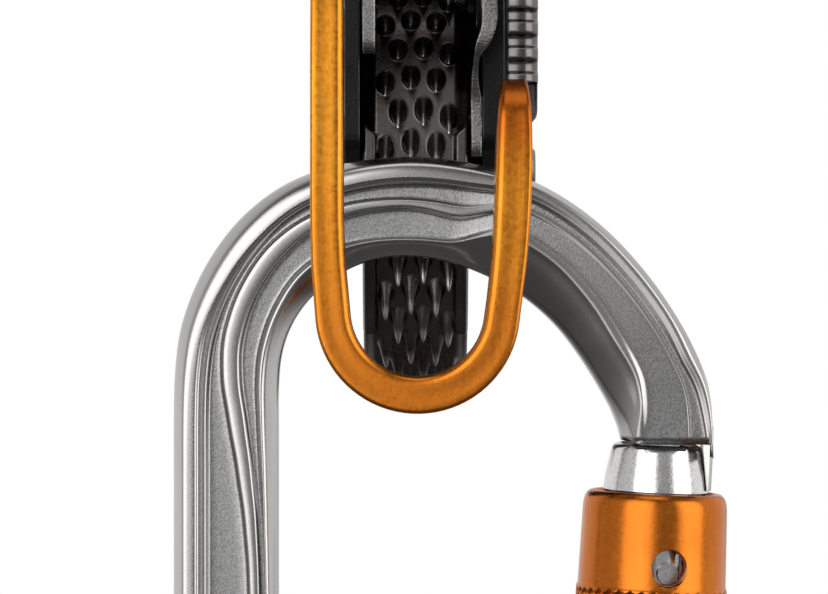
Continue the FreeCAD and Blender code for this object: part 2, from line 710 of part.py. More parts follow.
def guide_slot():
    """Long slot of the sleeve guide, as a cutting block along the pin."""
    slot = block(-1.6, 1.6, -9, -4, 26.8, 33.2)
    slot.rotate(Vector(0, 0, 0), Vector(0, 0, 1), 12.5)
    return slot


def sleeve_guide():
    """Tube that slides on the barrel and carries the sleeve."""
    tube = turned_gate([(6.28, 9.5), (7.0, 9.5), (7.0, 36.0), (6.28, 36.0)])
    return on_gate(tube.cut(guide_slot()))


def sleeve_spring():
    """Coil under the sleeve guide."""
    return on_gate(coil(6.6, 0.25, 1.5, 5.4, Vector(0, 0, 3.9), Vector(0, 0, 1)))


def locking_sleeve():
    """Orange outer sleeve with sight hole and grip band."""
    low = SLEEVE_BOTTOM + 1.4
    profile = [(7.1, low), (9.0, low), (9.05, 13.6), (9.3, 13.9), (9.3, 26.3), (9.12, 26.6),
               (8.87, SLEEVE_TOP - 1.3), (8.5, SLEEVE_TOP - 0.4), (7.75, SLEEVE_TOP),
               (7.45, SLEEVE_TOP - 0.2), (7.45, 36.3), (7.1, 36.1)]
    sleeve = turned_gate(profile)
    sight = Part.makeCylinder(2.2, 12, Vector(0, 0, 28.5), guide_direction())
    flutes = []
    for i in range(18):
        angle = math.radians(20 * i)
        centre = Vector(10.15 * math.cos(angle), 10.15 * math.sin(angle), 14.4)
        flutes.append(Part.makeCylinder(1.05, 11.4, centre))
    return on_gate(sleeve.cut(sight).cut(Part.makeCompound(flutes)))


def sleeve_ring():
    """End ring that keeps the sleeve on its guide."""
    low = SLEEVE_BOTTOM
    profile = [(7.1, low + 0.2), (8.6, low), (8.95, low + 0.4), (8.95, low + 1.4), (7.1, low + 1.4)]
    return on_gate(turned_gate(profile))


def save(shape, name):
    """Move one node to the part's origin and write it."""
    placed = shape.copy()
    placed.translate(Vector(-ROPE_X, -ROPE_Y, -SEAT_FOOT))
    placed.exportStep("parts/" + name + ".step")


def main():
    os.makedirs("parts", exist_ok=True)
    makers = (frame_left, frame_right, rope_guide, rear_bridge, frame_spacers, frame_rivets,
              wheel_axle, axle_nut, ratchet_ring, arm_axle, arm_axle_clip, arm_axle_spacer, catch_pin,
              wheel_rim, wheel_cover, cover_screws, wheel_bush, pawl_pins, arm, arm_bush,
              safety_catch, catch_spring, carabiner_body, gate_rivet, gate,
              gate_guide_pin, gate_plunger, gate_spring, sleeve_guide, sleeve_spring,
              locking_sleeve, sleeve_ring)
    for maker in makers:
        save(maker(), maker.__name__)
    save(pawl(0), "pawl_a")
    save(pawl(180), "pawl_b")
    save(pawl_spring(1), "pawl_spring_a")
    save(pawl_spring(-1), "pawl_spring_b")


main()
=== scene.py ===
import json
import math

import bmesh
import bpy
from mathutils import Matrix, Vector


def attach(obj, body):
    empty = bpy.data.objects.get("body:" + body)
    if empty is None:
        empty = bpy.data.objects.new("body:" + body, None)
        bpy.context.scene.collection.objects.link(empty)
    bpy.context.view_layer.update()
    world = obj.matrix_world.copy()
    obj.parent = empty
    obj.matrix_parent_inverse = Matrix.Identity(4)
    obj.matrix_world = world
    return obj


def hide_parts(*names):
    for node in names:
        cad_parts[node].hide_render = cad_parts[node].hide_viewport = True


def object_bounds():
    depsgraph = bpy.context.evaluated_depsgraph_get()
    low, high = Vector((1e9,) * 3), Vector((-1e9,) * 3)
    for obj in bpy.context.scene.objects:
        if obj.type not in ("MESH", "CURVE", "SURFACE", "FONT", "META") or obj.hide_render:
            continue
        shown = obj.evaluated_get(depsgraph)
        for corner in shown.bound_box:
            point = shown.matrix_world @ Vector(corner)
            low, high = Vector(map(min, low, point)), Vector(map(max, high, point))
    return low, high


# Rope grab with a locking carabiner. X runs along the wheel axle, -Y is the open
# front and Z is up along the rope. Pieces are drawn in millimetres about the centre
# of the axle, then scaled to metres and moved to the part's origin, the foot of the
# rope seat.

MM = 0.001
SEAT = Vector((1.05, -38.8, 24.5))
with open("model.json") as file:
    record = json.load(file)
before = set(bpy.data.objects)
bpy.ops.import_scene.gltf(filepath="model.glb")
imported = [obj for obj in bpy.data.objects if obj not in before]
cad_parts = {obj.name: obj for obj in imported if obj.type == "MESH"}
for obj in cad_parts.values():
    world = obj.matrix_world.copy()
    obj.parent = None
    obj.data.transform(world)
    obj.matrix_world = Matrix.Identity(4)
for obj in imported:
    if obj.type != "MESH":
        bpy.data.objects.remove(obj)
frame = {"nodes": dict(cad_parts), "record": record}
cad_low, cad_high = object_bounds()

BAR_Y = -37.85
BAR_HALF = 5.25
BAR_MID_Z = -55.7
RIVET = Vector((27.93, BAR_Y, -79.1))
GATE_LEAN = 2.58
ARM_Y = -47.35
ARM_BOTTOM = (0.23, -18.6)
ARM_ARC_R = 10.22
ARM_PIVOT = (-20.0, 36.0)
CATCH_PIVOT = (-40.0, 38.0)
NOSE_EDGE = -35.1
RIM_R = 29.3
LUG_R = 30.5
LUG_START = 170.3
LUG_EVERY = 90
LUG_SPAN = 56.0
TOOTH_HEIGHT = 2.5
TOOTH_RAKE = 2.65
TOOTH_HALF_LENGTH = 1.75
TOOTH_HALF_WIDTH = 1.2
TOOTH_BLUNTNESS = 0.03
TOOTH_COLUMN_STEP = 3.2
TOOTH_ROW_STEP = 8.4
TOOTH_ROWS = 21
KNURL_LOW = 14.0
KNURL_HIGH = 26.2
KNURL_PITCH = 1.45
SIGHT_HOLE_TURN = 9.7
SIGHT_HOLE_LEVEL = 29.3
SIGHT_HOLE_R = 2.2
RIB_START = 11.15
RIB_STEP = 3.13
CAMERA_PLACE = (-0.19, -488.0, -17.0)
GATE_FRAME = Matrix.Translation(RIVET) @ Matrix.Rotation(math.radians(GATE_LEAN), 4, "Y")


# ---- small helpers ---------------------------------------------------------

def smooth_step(value, low, high):
    """0 below low, 1 above high, smooth between."""
    t = min(1.0, max(0.0, (value - low) / (high - low)))
    return t * t * (3 - 2 * t)


def spline(values, t):
    """Catmull-Rom value at t along a list of numbers or vectors."""
    last = len(values) - 1
    i = min(int(t), last - 1)
    f = t - i
    a = values[max(i - 1, 0)]
    b = values[i]
    c = values[i + 1]
    d = values[min(i + 2, last)]
    return (b * 2 + (c - a) * f + (a * 2 - b * 5 + c * 4 - d) * (f * f)
            + (b * 3 - a - c * 3 + d) * (f * f * f)) * 0.5


def polar(centre, radius, degrees):
    """Point on a circle in a plane."""
    a = math.radians(degrees)
    return (centre[0] + radius * math.cos(a), centre[1] + radius * math.sin(a))


def make_piece(name, points, faces, material, body, node, sharp=50):
    """Mesh piece in millimetres that rides on a body and stands for a CAD node."""
    mesh = bpy.data.meshes.new(name)
    mesh.from_pydata([(Vector(p) - SEAT) * MM for p in points], [], faces)
    mesh.validate()
    work = bmesh.new()
    work.from_mesh(mesh)
    bmesh.ops.recalc_face_normals(work, faces=work.faces)
    work.to_mesh(mesh)
    work.free()
    mesh.shade_smooth()
    if sharp:
        mesh.set_sharp_from_angle(angle=math.radians(sharp))
    piece = bpy.data.objects.new(name, mesh)
    bpy.context.scene.collection.objects.link(piece)
    mesh.materials.append(material)
    if body:
        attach(piece, body)
    if node:
        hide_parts(node)
    return piece


def grid(rows, close_u=False, close_v=True):
    """Points and quads of a grid; v runs along each row, u from row to row."""
    points = [p for row in rows for p in row]
    across = len(rows[0])
    down = len(rows)
    faces = []
    for u in range(down if close_u else down - 1):
        for v in range(across if close_v else across - 1):
            w = (v + 1) % across
            n = (u + 1) % down
            faces.append((u * across + v, u * across + w, n * across + w, n * across + v))
    return points, faces


def apply_modifiers(piece):
    """Bake the modifier stack into the mesh."""
    graph = bpy.context.evaluated_depsgraph_get()
    baked = bpy.data.meshes.new_from_object(piece.evaluated_get(graph))
    piece.modifiers.clear()
    piece.data = baked


def subdivide(piece, levels):
    """Catmull-Clark smoothing, baked."""
    modifier = piece.modifiers.new("smooth", "SUBSURF")
    modifier.levels = levels
    modifier.render_levels = levels
    apply_modifiers(piece)
    piece.data.shade_smooth()


def loose_mesh(points, faces, matrix=None):
    """Unlinked cutter object in millimetres."""
    mesh = bpy.data.meshes.new("cutter")
    place = matrix or Matrix()
    mesh.from_pydata([(place @ Vector(p) - SEAT) * MM for p in points], [], faces)
    work = bmesh.new()
    work.from_mesh(mesh)
    bmesh.ops.recalc_face_normals(work, faces=work.faces)
    work.to_mesh(mesh)
    work.free()
    cutter = bpy.data.objects.new("cutter", mesh)
    bpy.context.scene.collection.objects.link(cutter)
    return cutter


def prism(outline, low, high, matrix=None):
    """Cutter from an (x, y) outline between two z levels of its own frame."""
    count = len(outline)
    points = [(x, y, low) for x, y in outline] + [(x, y, high) for x, y in outline]
    faces = [tuple(range(count)), tuple(range(count, 2 * count))]
    for i in range(count):
        j = (i + 1) % count
        faces.append((i, j, j + count, i + count))
    return loose_mesh(points, faces, matrix)


def carve(piece, cutters):
    """Cut the cutters out of the piece and drop them."""
    for cutter in cutters:
        modifier = piece.modifiers.new("carve", "BOOLEAN")
        modifier.operation = "DIFFERENCE"
        modifier.solver = "EXACT"
        modifier.object = cutter
        apply_modifiers(piece)
        mesh = cutter.data
        bpy.data.objects.remove(cutter)
        bpy.data.meshes.remove(mesh)


def circle(radius, count, centre=(0.0, 0.0)):
    """Points of a circle in a plane."""
    return [polar(centre, radius, 360 * i / count) for i in range(count)]


def lathe(profile, segments, matrix, ripple=None):
    """Rows of points turned about the z axis of matrix from a closed (r, z) profile."""
    rows = []
    for i in range(segments):
        angle = 2 * math.pi * i / segments
        row = []
        for r, z in profile:
            if ripple:
                r = r + ripple(angle, r, z)
            row.append(matrix @ Vector((r * math.cos(angle), r * math.sin(angle), z)))
        rows.append(row)
    return grid(rows, close_u=True, close_v=True)


def refine(profile, step):
    """Closed profile with long runs divided."""
    fine = []
    for i, (r, z) in enumerate(profile):
        nr, nz = profile[(i + 1) % len(profile)]
        runs = max(1, int(math.hypot(nr - r, nz - z) / step))
        for k in range(runs):
            fine.append((r + (nr - r) * k / runs, z + (nz - z) * k / runs))
    return fine


# ---- materials -------------------------------------------------------------

class Finish:
    """A node material built step by step."""

    def __init__(self, name):
        self.material = bpy.data.materials.new(name)
        self.material.use_nodes = True
        self.tree = self.material.node_tree
        self.shader = self.tree.nodes["Principled BSDF"]
        self.place = self.tree.nodes.new("ShaderNodeTexCoord").outputs["Object"]

    def node(self, kind, inputs=None, **settings):
        made = self.tree.nodes.new(kind)
        for key, value in settings.items():
            setattr(made, key, value)
        for key, value in (inputs or {}).items():
            socket = made.inputs[key]
            if isinstance(value, bpy.types.NodeSocket):
                self.tree.links.new(value, socket)
            else:
                socket.default_value = value
        return made

    def noise(self, scale, detail=3.0, rough=0.55, squeeze=None):
        """Noise value in object space; squeeze stretches it along an axis."""
        where = self.place
        if squeeze:
            where = self.node("ShaderNodeMapping", {"Vector": where, "Scale": squeeze}).outputs[0]
        made = self.node("ShaderNodeTexNoise", {"Vector": where, "Scale": scale,
                                                "Detail": detail, "Roughness": rough})
        return made.outputs["Fac"]

    def ramp(self, value, low, high, to_low, to_high):
        """Remap a value with clamped smooth ends."""
        made = self.node("ShaderNodeMapRange", {"Value": value, "From Min": low, "From Max": high,
                                                "To Min": to_low, "To Max": to_high},
                         interpolation_type="SMOOTHSTEP")
        return made.outputs["Result"]

    def math(self, operation, a, b=0.0):
        """One arithmetic step."""
        made = self.node("ShaderNodeMath", {0: a, 1: b}, operation=operation)
        return made.outputs[0]

    def mix(self, factor, a, b):
        """Colour between a and b."""
        made = self.tree.nodes.new("ShaderNodeMix")
        made.data_type = "RGBA"
        for index, value in ((0, factor), (6, a), (7, b)):
            if isinstance(value, bpy.types.NodeSocket):
                self.tree.links.new(value, made.inputs[index])
            elif index == 0:
                made.inputs[0].default_value = value
            else:
                made.inputs[index].default_value = tuple(value) + (1.0,)
        return made.outputs[2]

    def edge_wear_and_highlight(self, radius):
        """1 on outer and inner edges, 0 on flats; and the rounded normal it comes from."""
        soft = self.node("ShaderNodeBevel", {"Radius": radius}, samples=6).outputs["Normal"]
        hard = self.node("ShaderNodeNewGeometry").outputs["Normal"]
        dot = self.node("ShaderNodeVectorMath", {0: soft, 1: hard}, operation="DOT_PRODUCT")
        away = self.math("SUBTRACT", 1.0, dot.outputs["Value"])
        return self.ramp(away, 0.02, 0.18, 0.0, 1.0), soft

    def bump(self, height, distance, normal=None):
        """Normal raised by height, at most by distance in metres."""
        inputs = {"Height": height, "Distance": distance, "Strength": 1.0}
        if normal:
            inputs["Normal"] = normal
        return self.node("ShaderNodeBump", inputs).outputs["Normal"]

    def attribute(self, name):
        """Value stored on the mesh's points, or 0 where the piece has none."""
        return self.node("ShaderNodeAttribute", attribute_name=name).outputs["Fac"]

    def finish(self, colour, rough, normal, metallic=1.0):
        """Connect the results to the shader."""
        for key, value in (("Base Color", colour), ("Roughness", rough), ("Normal", normal),
                           ("Metallic", metallic)):
            socket = self.shader.inputs[key]
            if isinstance(value, bpy.types.NodeSocket):
                self.tree.links.new(value, socket)
            elif value is not None:
                socket.default_value = value
        return self.material


def metal(name, dark, light, rough, grain=2600.0, grain_height=0.00001, edge=None,
          edge_radius=0.0003, metallic=1.0):
    """Sanded or tumbled metal: cloudy colour, speckled roughness, fine grain and an edge colour that
    stands for wear and, where it is set bright, a painted highlight.
    """
    f = Finish(name)
    clouds = f.noise(90.0, 3.0)
    specks = f.noise(2600.0, 2.0)
    colour = f.mix(f.ramp(clouds, 0.25, 0.75, 0.0, 1.0), dark, light)
    normal = None
    if edge:
        # edge colour on the rounded edges: wear, and where it is set bright, as on the guide sheet, a
        # painted highlight
        wear_and_highlight_mask, normal = f.edge_wear_and_highlight(edge_radius)
        broken = f.math("MULTIPLY", wear_and_highlight_mask, f.ramp(f.noise(700.0), 0.3, 0.6, 0.35, 1.0))
        colour = f.mix(broken, colour, edge)
    roughness = f.math("ADD", f.ramp(specks, 0.3, 0.7, rough * 0.8, rough * 1.2),
                       f.ramp(clouds, 0.35, 0.65, -0.03, 0.05))
    scratch = f.noise(500.0, 2.0, squeeze=(1.0, 1.0, 14.0))
    height = f.math("ADD", f.noise(grain, 3.0), f.math("MULTIPLY", scratch, 0.35))
    return f.finish(colour, roughness, f.bump(height, grain_height, normal), metallic)


def anodised(name, dark, light, rough, foot=None):
    """Dyed aluminium: satin colour with faint mottling and tiny pits.

    With foot, the colour shifts to that colour low on the part, and the hook gets a dark red painted
    shade.
    """
    f = Finish(name)
    clouds = f.noise(60.0, 2.0)
    mottles = f.noise(1500.0, 2.0)
    streaks = f.noise(900.0, 2.0, squeeze=(1.0, 1.0, 0.12))
    tint = f.math("ADD", f.math("MULTIPLY", clouds, 0.5), f.math("MULTIPLY", mottles, 0.5))
    colour = f.mix(f.ramp(tint, 0.3, 0.7, 0.0, 1.0), dark, light)
    if foot:
        level = f.node("ShaderNodeSeparateXYZ", {0: f.place}).outputs["Z"]
        # the colour shifts towards foot near the bottom of the part
        colour = f.mix(f.ramp(level, -0.052, -0.020, 0.85, 0.0), colour, foot)
        # painted shade: the hook's upper part and tip turned dark red as if facing away from the light
        colour = f.mix(f.math("MULTIPLY", f.attribute("hook"), 0.85), colour, (0.40, 0.085, 0.010))
    pits = f.ramp(f.noise(2100.0, 1.0), 0.20, 0.27, 1.0, 0.0)
    colour = f.mix(f.math("MULTIPLY", pits, 0.6), colour, tuple(c * 0.3 for c in dark))
    roughness = f.math("ADD", f.ramp(mottles, 0.3, 0.7, rough * 0.9, rough * 1.12),
                       f.ramp(streaks, 0.3, 0.7, -0.02, 0.03))
    height = f.math("ADD", mottles, f.math("MULTIPLY", streaks, 0.6))
    return f.finish(colour, roughness, f.bump(height, 0.000012))


def forged():
    """Forging with polished crests and grainy, etched pockets."""
    f = Finish("forged_aluminium_finish")
    pocket = f.attribute("pocket")
    clouds = f.noise(50.0, 2.0)
    grain = f.noise(4200.0, 2.0, 0.6)
    coarse = f.noise(1500.0, 2.0)
    smooth_colour = f.mix(f.ramp(clouds, 0.3, 0.7, 0.0, 1.0),
                          (0.41, 0.405, 0.397), (0.46, 0.455, 0.446))
    pocket_colour = f.mix(f.ramp(grain, 0.35, 0.65, 0.0, 1.0),
                          (0.25, 0.25, 0.255), (0.37, 0.37, 0.375))
    colour = f.mix(pocket, smooth_colour, pocket_colour)
    rough = f.math("ADD", f.ramp(pocket, 0.0, 1.0, 0.20, 0.30), f.ramp(grain, 0.3, 0.7, -0.03, 0.04))
    height = f.math("ADD", f.math("MULTIPLY", grain, f.ramp(pocket, 0.0, 1.0, 0.10, 1.0)),
                    f.math("MULTIPLY", coarse, f.ramp(pocket, 0.0, 1.0, 0.10, 0.5)))
    return f.finish(colour, rough, f.bump(height, 0.000018))


def turned():
    """Bright turned aluminium with lines round the gate's axis."""
    f = Finish("turned_aluminium_finish")
    lines = f.noise(5200.0, 2.0, squeeze=(0.02, 0.02, 1.0))
    specks = f.noise(4200.0, 2.0)
    colour = f.mix(f.ramp(specks, 0.3, 0.7, 0.0, 1.0), (0.60, 0.60, 0.61), (0.76, 0.76, 0.77))
    rough = f.ramp(specks, 0.3, 0.7, 0.16, 0.24)
    height = f.math("ADD", f.math("MULTIPLY", lines, 0.5), specks)
    return f.finish(colour, rough, f.bump(height, 0.000006))


def wheel_metal():
    """Hardened steel, dark brown grey, with painted shade on the tooth flanks and a painted highlight
    at the tooth tips.
    """
    f = Finish("wheel_steel_finish")
    tip = f.attribute("tip")
    clouds = f.noise(150.0, 3.0)
    grain = f.noise(2600.0, 3.0)
    colour = f.mix(f.ramp(clouds, 0.3, 0.7, 0.0, 1.0), (0.082, 0.074, 0.070), (0.112, 0.102, 0.097))
    # painted shade: tooth flanks darkened by their lift
    colour = f.mix(f.ramp(tip, 0.0, 0.45, 0.0, 0.25), colour, (0.045, 0.039, 0.037))
    # painted highlight: pale colour near the tooth tips
    colour = f.mix(f.ramp(tip, 0.55, 0.9, 0.0, 0.9), colour, (0.55, 0.53, 0.51))
    rough = f.math("ADD", f.ramp(grain, 0.3, 0.7, 0.25, 0.38), f.ramp(clouds, 0.3, 0.7, -0.03, 0.04))
    return f.finish(colour, rough, f.bump(grain, 0.000012))


MATERIALS = {
    # dark plate: the plates' own black, darkened further as painted shade to read as a shadowed gap
    "dark_plate": metal("dark_plate_finish", (0.009, 0.009, 0.009), (0.018, 0.018, 0.019), 0.34,
                        grain=3600.0, grain_height=0.00003, edge=(0.16, 0.16, 0.17), metallic=0.8),
    # guide sheet: the near-white edge colour is a painted highlight along its edges, on top of wear
    "guide_sheet": metal("guide_sheet_finish", (0.17, 0.167, 0.163), (0.28, 0.276, 0.27), 0.36,
                         grain=3000.0, grain_height=0.00022, edge=(0.85, 0.85, 0.84),
                         edge_radius=0.0004),
    "dark_steel": metal("dark_steel_finish", (0.16, 0.155, 0.15), (0.25, 0.245, 0.24), 0.28,
                        edge=(0.5, 0.5, 0.5)),
    "wheel_steel": wheel_metal(),
    "spring_steel": metal("spring_steel_finish", (0.42, 0.42, 0.43), (0.58, 0.58, 0.60), 0.25),
    "bronze": metal("bronze_finish", (0.42, 0.26, 0.11), (0.55, 0.36, 0.17), 0.35,
                    edge=(0.7, 0.5, 0.28)),
    "gold_anodised": anodised("gold_anodised_finish", (0.55, 0.185, 0.016), (0.78, 0.320, 0.030), 0.30,
                              foot=(0.62, 0.180, 0.020)),
    "orange_anodised": anodised("orange_anodised_finish", (0.49, 0.130, 0.014),
                                (0.56, 0.160, 0.020), 0.24),
    "catch_metal": metal("catch_metal_finish", (0.12, 0.117, 0.113), (0.17, 0.166, 0.16), 0.20,
                         edge=(0.45, 0.45, 0.45)),
    "forged_aluminium": forged(),
    "turned_aluminium": turned(),
    "grey_tube": metal("grey_tube_finish", (0.26, 0.26, 0.265), (0.36, 0.36, 0.365), 0.33),
}

SLOT_OF = {part["node"]: part["material_slot"] for part in frame["record"]["subparts"]}
for name, thing in frame["nodes"].items():
    for holder in thing.material_slots:
        holder.material = MATERIALS[SLOT_OF[name]]


# ---- carabiner body --------------------------------------------------------

BODY_RAILS = (
    ((-29.8, -55.7), (-16.85, -55.7)), ((-29.8, -50.0), (-16.85, -50.0)),
    ((-29.8, -44.0), (-16.85, -44.0)), ((-29.8, -38.0), (-16.85, -38.0)),
    ((-29.8, -32.0), (-16.85, -32.5)), ((-29.65, -26.2), (-16.85, -28.0)),
    ((-28.8, -20.2), (-16.4, -23.7)), ((-26.1, -13.5), (-14.9, -19.8)),
    ((-21.7, -7.4), (-12.3, -16.5)), ((-15.7, -2.85), (-9.0, -14.0)),
    ((-8.4, -0.45), (-5.1, -12.4)), ((-0.6, 0.3), (-0.7, -12.0)),
    ((7.4, -0.6), (4.0, -12.65)), ((15.1, -2.95), (8.6, -14.35)),
    ((22.0, -7.35), (13.2, -16.95)), ((27.6, -12.95), (17.2, -20.5)),
    ((31.8, -18.75), (20.2, -24.4)), ((34.6, -23.9), (22.4, -27.9)),
    ((36.25, -28.6), (24.0, -30.8)), ((36.7, -34.5), (25.3, -34.0)))

# At each rail: end of the bevel, end of the crown, end of the rim, end of the ledge,
# both feet of the ridge, ridge height, start and crest of the inner rim, pocket
# depth, share of the depth that the inner rim stands up again.
BODY_RELIEF = (
    (1.20, 1.85, 2.95, 4.10, 9.30, 11.10, 0.70, 11.25, 11.60, 1.0, 1.0),
    (1.20, 1.85, 2.95, 4.10, 9.10, 10.95, 0.75, 11.10, 11.50, 1.0, 1.0),
    (1.20, 1.85, 2.95, 4.10, 8.60, 10.65, 0.80, 10.90, 11.35, 1.0, 1.0),
    (1.20, 1.85, 2.95, 4.10, 7.75, 10.05, 0.80, 10.60, 11.20, 1.0, 1.0),
    (1.20, 1.90, 2.95, 4.10, 6.75, 9.30, 0.80, 10.35, 11.00, 1.0, 1.0),
    (1.20, 2.10, 3.00, 4.15, 5.85, 8.50, 0.80, 10.10, 10.90, 1.0, 1.0),
    (1.25, 2.50, 3.10, 4.20, 5.35, 8.00, 0.80, 10.00, 10.90, 1.0, 1.0),
    (1.30, 3.00, 3.40, 4.10, 5.00, 7.60, 0.80, 9.80, 10.70, 1.0, 1.0),
    (1.30, 3.20, 3.55, 3.95, 4.80, 7.35, 0.80, 9.60, 10.40, 1.0, 1.0),
    (1.15, 2.90, 3.30, 3.60, 4.80, 7.00, 0.75, 9.70, 10.30, 1.0, 1.0),
    (0.95, 2.60, 3.00, 3.40, 4.90, 6.60, 0.70, 9.80, 10.20, 1.0, 1.0),
    (0.75, 2.40, 2.80, 3.30, 5.10, 6.60, 0.70, 9.90, 10.30, 1.0, 1.0),
    (0.75, 2.30, 2.70, 3.10, 5.40, 7.40, 0.70, 9.80, 10.25, 0.9, 1.0),
    (0.80, 1.40, 1.80, 2.20, 3.30, 4.10, 0.30, 6.30, 7.40, 0.35, 1.0),
    (0.80, 1.30, 1.70, 2.20, 3.20, 3.90, 0.15, 6.40, 7.40, 0.25, 1.0),
    (0.80, 1.30, 1.70, 2.20, 3.20, 3.80, 0.05, 6.70, 7.80, 0.22, 1.0),
    (0.75, 1.20, 1.60, 2.10, 3.10, 3.70, 0.00, 7.20, 8.30, 0.22, 1.0),
    (0.80, 1.50, 1.80, 2.10, 3.10, 3.60, 0.00, 7.30, 8.20, 0.35, 1.0),
    (0.50, 0.95, 1.25, 1.50, 3.00, 3.40, 0.00, 8.10, 8.75, 0.45, 0.9),
    (0.25, 0.40, 0.55, 0.70, 3.00, 3.40, 0.00, 8.60, 9.60, 0.5, 0.0))


def front_profile(width, relief):
    """(distance from outer edge, depth from mid plane, pocket) across the front."""
    bevel, crown_end, rim, ledge, ridge_a, ridge_b, ridge, inner, lip, depth, rise = relief
    top = BAR_HALF
    low = top - 0.38 * min(1.0, depth)
    floor = top - 1.15 * depth
    crown = floor + ridge * depth
    half = (ridge_b - ridge_a) / 2
    pocket = min(1.0, 2.4 * depth)
    drop = 0.37 * (crown_end - bevel)
    points = [(0.0, 0.9, 0), (0.04, 1.9, 0), (0.2, 2.55, 0),
              (0.5 * bevel + 0.1, 2.55 + 0.5 * (top - drop - 2.55), 0), (bevel, top - drop, 0)]
    for share in (0.25, 0.5, 0.75, 1.0):
        points.append((bevel + (crown_end - bevel) * share, top - drop * (1 - share) ** 2, 0))
    points += [(rim - 0.2, top, 0.6 * pocket), (rim - 0.02, top - 0.03, 0),
               (rim + 0.2, low + 0.03, 0), (rim + 0.36, low, 0.1 * pocket)]
    points += [(ledge - 0.08, low, 0.2 * pocket), (ledge + 0.06, low - 0.04, 0),
               (ledge + 0.38, floor + 0.06, 0.2 * pocket), (ledge + 0.56, floor, pocket)]
    points += [(ledge * 0.5 + ridge_a * 0.5 + 0.15, floor, pocket)]
    foot = min(0.5, 0.8 * half)
    slope = floor + 0.12 * ridge * depth
    shoulder = crown - 0.14 * ridge * depth
    points += [(ridge_a - 0.15, floor, pocket), (ridge_a + 0.04, slope, 0.3 * pocket),
               (ridge_a + 0.6 * foot, shoulder, 0), (ridge_a + foot, crown, 0),
               (ridge_a + half, crown + 0.02, 0), (ridge_b - foot, crown, 0),
               (ridge_b - 0.6 * foot, shoulder, 0), (ridge_b - 0.04, slope, 0.3 * pocket),
               (ridge_b + 0.15, floor, pocket)]
    points += [(ridge_b * 0.65 + inner * 0.35, floor, pocket),
               (ridge_b * 0.3 + inner * 0.7, floor, pocket)]
    brow = floor + (top - floor) * rise
    climb = min(0.45, lip - inner - 0.1)
    points += [(inner - 0.15, floor, pocket), (inner + 0.05, floor + 0.06 * rise, 0.4 * pocket),
               (inner + climb, brow - 0.06 * rise, 0), (lip - 0.04, brow - 0.03, 0),
               (lip + 0.2, brow - 0.12, 0), (lip + 0.45, brow - 0.34, 0)]
    flank = width - lip
    points += [(lip + 0.35 * flank, brow * 0.86, 0), (lip + 0.62 * flank, brow * 0.70, 0),
               (width - 0.45, brow * 0.51, 0), (width - 0.1, brow * 0.35, 0), (width, 0.9, 0)]
    spread = [points[0]]
    for d, y, mark in points[1:]:
        spread.append((max(d, spread[-1][0] + 0.05), y, mark))
    reach = spread[-1][0]
    if reach > width:
        spread = [(d * width / reach, y, mark) for d, y, mark in spread]
    return spread


def body_station(t):
    """Outer point, inner point and relief at rail position t of the upper half."""
    outer = spline([Vector(o) for o, i in BODY_RAILS], t)
    inner = spline([Vector(i) for o, i in BODY_RAILS], t)
    last = len(BODY_RELIEF) - 1
    low = min(int(t), last - 1)
    mix = smooth_step(t - low, 0, 1) * 0.35 + (t - low) * 0.65
    relief = [a + (b - a) * mix for a, b in zip(BODY_RELIEF[low], BODY_RELIEF[low + 1])]
    return outer, inner, relief


def body_ring(t, lower):
    """Closed ring of points round the body, with its pocket marks."""
    outer, inner, relief = body_station(t)
    across = inner - outer
    width = across.length
    across.normalize()
    front = []
    marks = []
    for d, y, mark in front_profile(width, relief):
        spot = outer + across * d
        z = 2 * BAR_MID_Z - spot.y if lower else spot.y
        front.append((spot.x, z, y))
        marks.append(mark)
    ring = [Vector((x, BAR_Y - y, z)) for x, z, y in front]
    ring += [Vector((x, BAR_Y + y, z)) for x, z, y in reversed(front)]
    return ring, marks + marks[::-1]


def room_level(x):
    """Height of the clearance above the hinge, at x."""
    reach = 7.0 * 7.0 - (x - RIVET.x) ** 2
    scoop = RIVET.z - math.sqrt(reach) if reach > 0 else 0.0
    return min(-83.3 - max(0.0, x - 30.0) * 0.5, scoop)


def nose_level(x):
    """Height of the nose's lower edge, at x."""
    return NOSE_EDGE + 0.5 * (1 - smooth_step(x, 24.8, 28.4)) - 1.7 * smooth_step(x, 35.95, 36.3)


